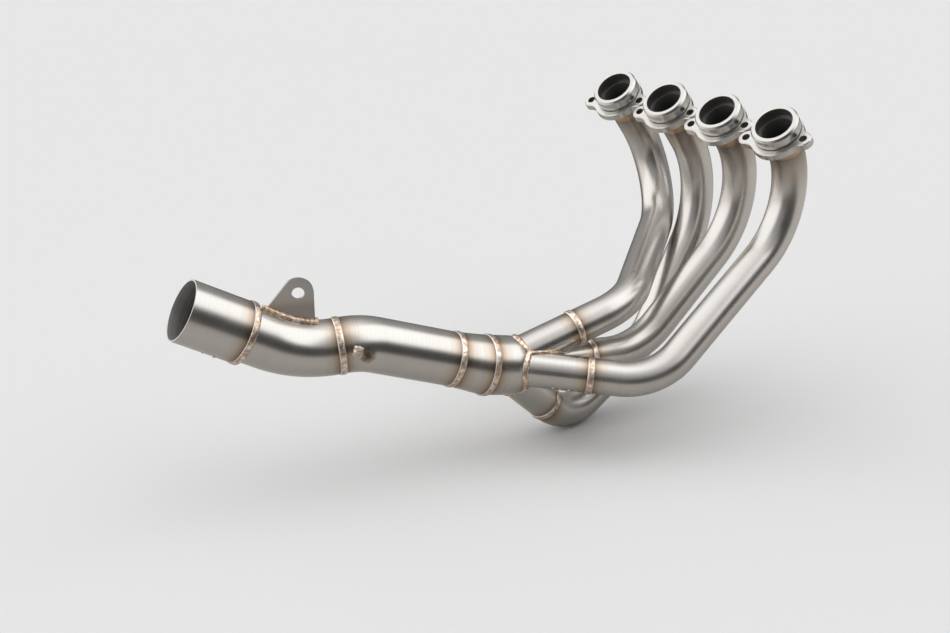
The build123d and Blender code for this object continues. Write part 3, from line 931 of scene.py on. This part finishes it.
def above(graph, height, degrees, edge=SOFT_EDGE):
    """1 for a ray that points higher than this many degrees, with a soft edge."""
    return graph.step(height, math.sin(math.radians(degrees - edge)), math.sin(math.radians(degrees + edge)))


def below(graph, height, degrees):
    """1 for a ray that points lower than this many degrees, with a soft edge."""
    return above(graph, height, degrees, -SOFT_EDGE)


start_fresh()
bpy.ops.mesh.primitive_plane_add(size=FLOOR_SIZE, location=(middle.x, middle.y, cad_box[0].z - FLOOR_DROP))
floor = bpy.context.object
floor.name = "floor"
set_in_mesh(floor)
graph = Graph(bpy.data.materials.new("pale_floor_painted_reflection"))
# For glossy rays the floor's colour is a painted reflection: darker than the camera sees it, dark far out,
# lighter in patches at the right and rear, and warm.
offset = graph.add("ShaderNodeVectorMath", {0: graph.place(), 1: tuple(middle)}, operation="SUBTRACT")
flat = graph.add("ShaderNodeVectorMath", {0: offset.outputs[0], 1: FLOOR_SHAPE}, operation="MULTIPLY")
reach = graph.add("ShaderNodeVectorMath", {0: flat.outputs[0]}, operation="LENGTH").outputs["Value"]
painted_reflection = graph.ramp(reach, [(PAINTED_REFLECTION_FADE[0], grey(PAINTED_REFLECTION_NEAR)), (PAINTED_REFLECTION_FADE[1], grey(PAINTED_REFLECTION_FAR))]).outputs[0]
beyond = graph.step(reach, PAINTED_PATCHES_FROM, PAINTED_PATCHES_FULL)
for heading, half, level in (
    (RIGHT_HEADING, RIGHT_HALF, PAINTED_REFLECTION_RIGHT),
    (REAR_HEADING, REAR_HALF, PAINTED_REFLECTION_REAR),
):
    there = graph.maths("MULTIPLY", facing(graph, offset.outputs[0], heading, half), beyond)
    painted_reflection = graph.blend("MIX", there.outputs[0], painted_reflection, opaque(grey(level)))
painted_reflection = graph.blend("MULTIPLY", 1.0, painted_reflection, opaque(PAINTED_REFLECTION_WARMTH))
path = graph.add("ShaderNodeLightPath")
base = graph.blend("MIX", path.outputs["Is Glossy Ray"], opaque(grey(FLOOR_PALE)), painted_reflection)
graph.wire(base, graph.shader.inputs["Base Color"])
graph.shader.inputs["Roughness"].default_value = 1.0
graph.shader.inputs["Specular IOR Level"].default_value = 0.0
floor.data.materials.append(graph.owner)

studio = Graph(bpy.data.worlds.new("studio"))
bpy.context.scene.world = studio.owner
ray = studio.add("ShaderNodeTexCoord").outputs["Generated"]
height = studio.add("ShaderNodeSeparateXYZ", {0: ray}).outputs["Z"]
light = studio.ramp(height, [(spot, grey(level)) for spot, level in ROOM]).outputs[0]
for heading, half, level, span in (
    (DARK_HEADING, DARK_HALF, DARK_LEVEL, below(studio, height, DARK_TOP)),
    (KEY_HEADING, KEY_HALF, KEY_LEVEL, above(studio, height, KEY_LOW)),
    (REAR_HEADING, REAR_HALF, REAR_LEVEL, below(studio, height, REAR_HIGH)),
):
    there = studio.maths("MULTIPLY", facing(studio, ray, heading, half), span)
    light = studio.blend("MIX", there.outputs[0], light, opaque(grey(level)))
path = studio.add("ShaderNodeLightPath")
light = studio.blend("MIX", path.outputs["Is Camera Ray"], light, opaque(grey(PALE)))
studio.wire(light, studio.shader.inputs["Color"])

CAMERA_SPOT = (-1.184, -0.863, 0.364)
CAMERA_RIGHT = Vector((0.7477, -0.664, 0.0))
CAMERA_UP = Vector((0.25, 0.2815, 0.9263))
CAMERA_LENS = 53.05
camera = bpy.data.objects.new("camera", bpy.data.cameras.new("camera"))
bpy.context.scene.collection.objects.link(camera)
camera.data.lens = CAMERA_LENS
camera.location = CAMERA_SPOT
camera_back = CAMERA_RIGHT.cross(CAMERA_UP)
camera.rotation_euler = Matrix((CAMERA_RIGHT, CAMERA_UP, camera_back)).transposed().to_euler()
bpy.context.scene.camera = camera
bpy.context.scene.view_settings.view_transform = "Standard"
